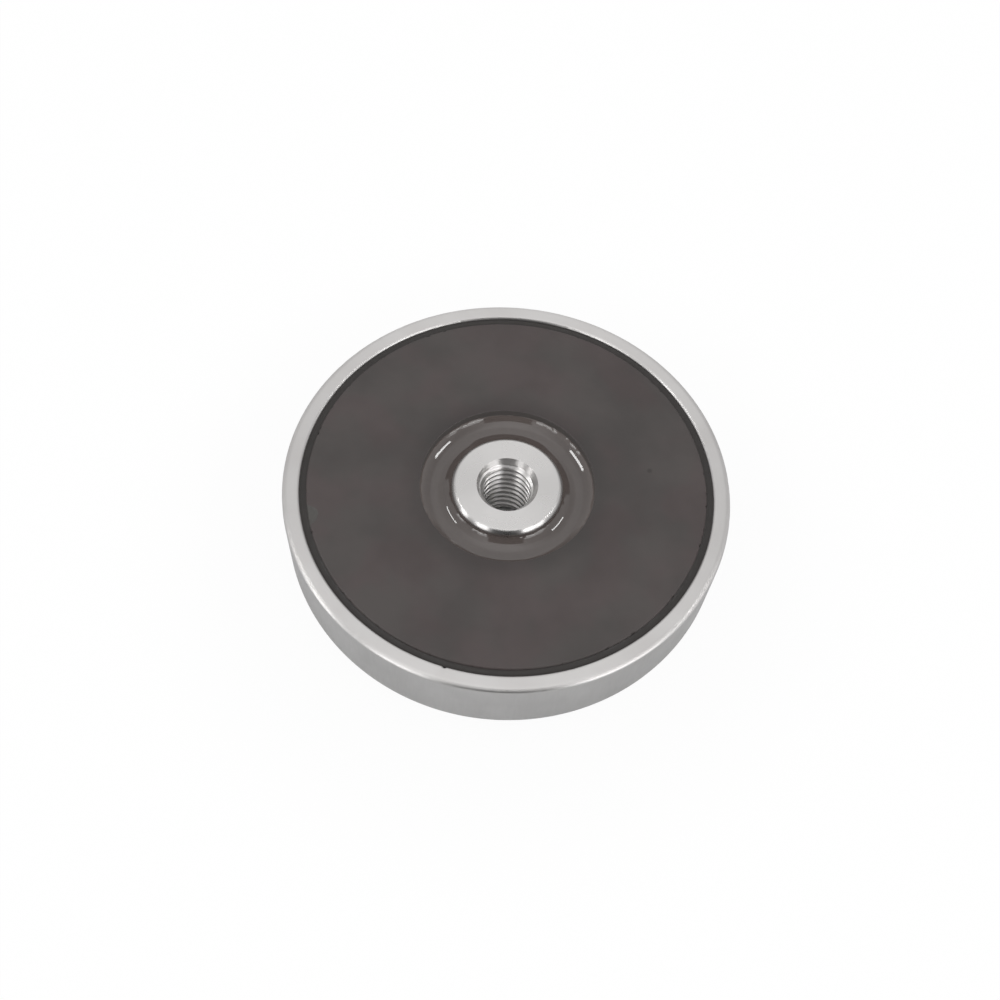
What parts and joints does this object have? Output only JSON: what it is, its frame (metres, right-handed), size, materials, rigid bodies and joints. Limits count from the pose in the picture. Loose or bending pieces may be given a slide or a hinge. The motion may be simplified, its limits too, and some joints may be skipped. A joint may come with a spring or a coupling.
{
  "type": "pot magnet",
  "caption": "Flat round ferrite pot magnet: steel cup, exposed ferrite ring face and a central bush threaded right through.",
  "frame": {"origin": "centre of the back face, on the axis of the bush", "axes": "+Z along the bush axis, out of the magnetic face; X and Y are any two directions across the face"},
  "size_m": [0.063, 0.063, 0.014],
  "materials": {
    "cup_steel": "zinc-plated satin wall, turned bright rim",
    "ferrite": "ground matt brown-grey sintered ferrite",
    "bush_steel": "turned bright steel with fine face-turning marks",
    "centre_resin": "glossy brown-grey cured resin",
    "rim_adhesive": "satin near-black cured adhesive"
  },
  "bodies": {
    "root": {"cup": "cup_steel", "ferrite_ring": "ferrite", "threaded_bush": "bush_steel", "centre_resin": "centre_resin", "rim_adhesive": "rim_adhesive"}
  },
  "joints": []
}
